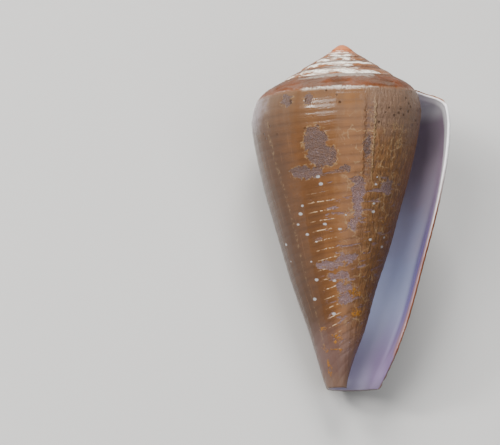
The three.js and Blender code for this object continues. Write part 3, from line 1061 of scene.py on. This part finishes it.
class ConeShellColours(bpy.types.PropertyGroup):
    """Colours of the shell and its studio."""

    body: colour_property("Body", "Orange brown of the last whorl", (0.190, 0.082, 0.030))
    body_dark: colour_property("Body, dark", "Darker growth bands", (0.135, 0.060, 0.025))
    body_light: colour_property("Body, light", "Lighter streaks and clouds", (0.23, 0.115, 0.052))
    body_line: colour_property("Body, lines", "Faint spiral lines", (0.10, 0.050, 0.028))
    # Painted shade: dark greyish brown of the left side, partly its greyer tone and partly painted shade
    painted_side_shade: colour_property("Body, side", "Greyer left side", (0.048, 0.023, 0.013))
    body_upper: colour_property("Body, upper", "Greyish brown below the shoulder", (0.135, 0.078, 0.045))
    base: colour_property("Base", "Mauve brown of the front end", (0.125, 0.074, 0.064))
    base_tip: colour_property("Base tip", "Yellowish cream of the worn front end", (0.17, 0.105, 0.068))
    aged: colour_property("Aged", "Yellow brown of the rough side", (0.155, 0.070, 0.022))
    aged_dark: colour_property("Aged, dark", "Brown hollows of the rough side", (0.085, 0.042, 0.020))
    aged_upper: colour_property("Aged, upper", "Mauve grey near the shoulder", (0.150, 0.092, 0.062))
    aged_light: colour_property("Aged, light", "Pale ridges of the rough side", (0.30, 0.20, 0.10))
    worn: colour_property("Worn", "Purple grey of the worn patches", (0.105, 0.068, 0.060))
    worn_dark: colour_property("Worn, dark", "Hollows of the worn patches", (0.050, 0.029, 0.025))
    worn_light: colour_property("Worn, light", "Pale net of the worn patches", (0.16, 0.115, 0.12))
    stain: colour_property("Stains", "Mauve stains lower down", (0.25, 0.17, 0.20))
    dot: colour_property("Dots", "White dots on the spiral lines", (0.40, 0.41, 0.43))
    # Painted highlight: cream lines on the spiral ribs that stand in for glints of the lights
    glint: colour_property("Glints", "Worn cream threads of the spiral ribs", (0.50, 0.34, 0.20))
    scar: colour_property("Scar", "Lilac white at the left shoulder", (0.42, 0.37, 0.42))
    pit: colour_property("Pits", "Dark pits below the shoulder", (0.045, 0.020, 0.008))
    crust: colour_property("Crust", "Orange crusts near the front end", (0.28, 0.11, 0.006))
    spire: colour_property("Spire", "Cream of the spire", (0.93, 0.89, 0.80))
    flame: colour_property("Flames", "Orange brown flames of the spire", (0.21, 0.062, 0.004))
    flame_dark: colour_property("Flames, dark", "Brown of the suture", (0.070, 0.020, 0.003))
    apex: colour_property("Apex", "Pinkish tip of the spire", (0.50, 0.16, 0.06))
    shoulder: colour_property("Shoulder", "Orange brown band below the suture", (0.125, 0.028, 0.002))
    inside_deep: colour_property("Inside, upper", "Grey of the upper aperture", (0.39, 0.32, 0.39))
    # Painted light and shade: Inside is painted bright where the body whorl shades it, and Inside, near the
    # lip darker where the lights reach
    inside: colour_property("Inside", "Blue grey of the aperture", (0.74, 0.79, 0.98))
    inside_painted_dim_near_lip: colour_property("Inside, near the lip", "Blue grey next to the lip", (0.33, 0.36, 0.52))
    violet_upper: colour_property("Violet, upper", "Zone behind the upper lip", (0.46, 0.34, 0.46))
    violet: colour_property("Violet", "Zone behind the lip", (0.10, 0.06, 0.21))
    inside_base: colour_property("Inside, front", "Pinkish brown at the front end", (0.20, 0.14, 0.25))
    rim: colour_property("Lip", "White edge of the lip", (0.94, 0.93, 0.97))
    rim_front: colour_property("Lip, front", "Pinkish edge of the lip in front", (0.26, 0.15, 0.17))
    floor: colour_property("Floor", "Pale studio floor", (0.56, 0.555, 0.545))


# Operators


class OBJECT_OT_cone_shell(bpy.types.Operator):
    """Grow the cone shell that stands for the CAD model"""

    bl_idname = "object.cone_shell"
    bl_label = "Cone Shell"

    def execute(self, context):
        sizes = context.scene.cone_shell
        material = shell_material(context.scene.cone_shell_colours, sizes)
        settings = {name: value for name, (_, value) in shared_sizes(sizes).items()}
        mesh = grow(build_shell_tree(sizes), {**settings, "Material": material})
        if not mesh.polygons:
            raise RuntimeError("the shell's tree made no faces")
        if close_mesh(mesh, material):
            raise RuntimeError("the shell's mesh is still open")
        shell = bpy.data.objects.new("shell", mesh)
        context.collection.objects.link(shell)
        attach(shell, "root")
        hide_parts("cone_shell")
        return {"FINISHED"}


class SCENE_OT_shell_studio(bpy.types.Operator):
    """Set up the floor, soft lights and the camera"""

    bl_idname = "scene.shell_studio"
    bl_label = "Shell Studio"

    def execute(self, context):
        colours = context.scene.cone_shell_colours
        self.add_floor(context, colours)
        self.add_camera(context)
        self.add_lights(context)
        return {"FINISHED"}

    def add_floor(self, context, colours):
        mesh = bpy.data.meshes.new("floor")
        corners = [(x * FLOOR_REACH, y * FLOOR_REACH, 0) for x, y in ((-1, -1), (1, -1), (1, 1), (-1, 1))]
        mesh.from_pydata(corners, [], [(0, 1, 2, 3)])
        mesh.materials.append(floor_material(colours))
        floor = bpy.data.objects.new("floor", mesh)
        context.collection.objects.link(floor)

    def view_axes(self):
        """Right, up and back of the camera, in the frame of the model."""
        turn = rest_matrix().to_3x3()
        right = Vector((1, 0, 0))
        up = Vector((0, math.cos(VIEW_DOWN), math.sin(VIEW_DOWN)))
        back = Vector((0, -math.sin(VIEW_DOWN), math.cos(VIEW_DOWN)))
        rolled_right = (right - VIEW_ROLL * up).normalized()
        rolled_up = (up + VIEW_ROLL * right).normalized()
        return [turn @ axis for axis in (rolled_right, rolled_up, back)]

    def add_camera(self, context):
        right, up, back = self.view_axes()
        pose = rest_matrix()
        middle_x = (FRAME_SIZE[0] / 2 - APEX_PIXEL[0]) * PIXEL
        middle_y = -(FRAME_SIZE[1] / 2 - APEX_PIXEL[1]) * PIXEL
        apex = pose @ Vector((0, 0, 0))
        target = apex + middle_x * right + middle_y * up
        place = target + CAMERA_DISTANCE * back
        data = bpy.data.cameras.new("camera")
        data.sensor_width = SENSOR_WIDTH
        data.lens = SENSOR_WIDTH * CAMERA_DISTANCE / (FRAME_SIZE[0] * PIXEL)
        data.clip_end = 10.0
        camera = bpy.data.objects.new("camera", data)
        context.collection.objects.link(camera)
        turn = Matrix((right, up, back)).transposed().to_4x4()
        camera.matrix_world = Matrix.Translation(MM * place) @ turn
        context.scene.camera = camera

    def add_lights(self, context):
        right, up, back = self.view_axes()
        centre = Vector((0, 0, LIT_HEIGHT))
        for name, (side, high, out), size, power, colour in LIGHTS:
            data = bpy.data.lights.new(name, "AREA")
            data.size = size
            data.energy = power
            data.color = colour
            lamp = bpy.data.objects.new(name, data)
            context.collection.objects.link(lamp)
            way = (side * right + high * up + out * back).normalized()
            lamp.location = centre + LIGHT_DISTANCE * way
            lamp.rotation_euler = way.to_track_quat("Z", "Y").to_euler()
        world = bpy.data.worlds.new("studio")
        world.use_nodes = True
        sky = world.node_tree.nodes["Background"]
        sky.inputs["Color"].default_value = (*SKY_COLOUR, 1.0)
        sky.inputs["Strength"].default_value = SKY_STRENGTH
        context.scene.world = world


class VIEW3D_PT_cone_shell(bpy.types.Panel):
    """The shell's operators and settings in the sidebar"""

    bl_label = "Cone Shell"
    bl_idname = "VIEW3D_PT_cone_shell"
    bl_space_type = "VIEW_3D"
    bl_region_type = "UI"
    bl_category = "Cone Shell"

    def draw(self, context):
        layout = self.layout
        layout.operator(OBJECT_OT_cone_shell.bl_idname)
        layout.operator(SCENE_OT_shell_studio.bl_idname)
        for settings in (context.scene.cone_shell, context.scene.cone_shell_colours):
            box = layout.box()
            for name in settings.bl_rna.properties.keys():
                if name not in ("rna_type", "name"):
                    box.prop(settings, name)


CLASSES = (
    ConeShellSizes,
    ConeShellColours,
    OBJECT_OT_cone_shell,
    SCENE_OT_shell_studio,
    VIEW3D_PT_cone_shell,
)


def register():
    for cls in CLASSES:
        bpy.utils.register_class(cls)
    bpy.types.Scene.cone_shell = PointerProperty(type=ConeShellSizes)
    bpy.types.Scene.cone_shell_colours = PointerProperty(type=ConeShellColours)


def unregister():
    del bpy.types.Scene.cone_shell_colours
    del bpy.types.Scene.cone_shell
    for cls in reversed(CLASSES):
        bpy.utils.unregister_class(cls)


def main():
    register()
    bpy.ops.object.cone_shell()
    bpy.ops.scene.shell_studio()


if __name__ == "__main__":
    main()
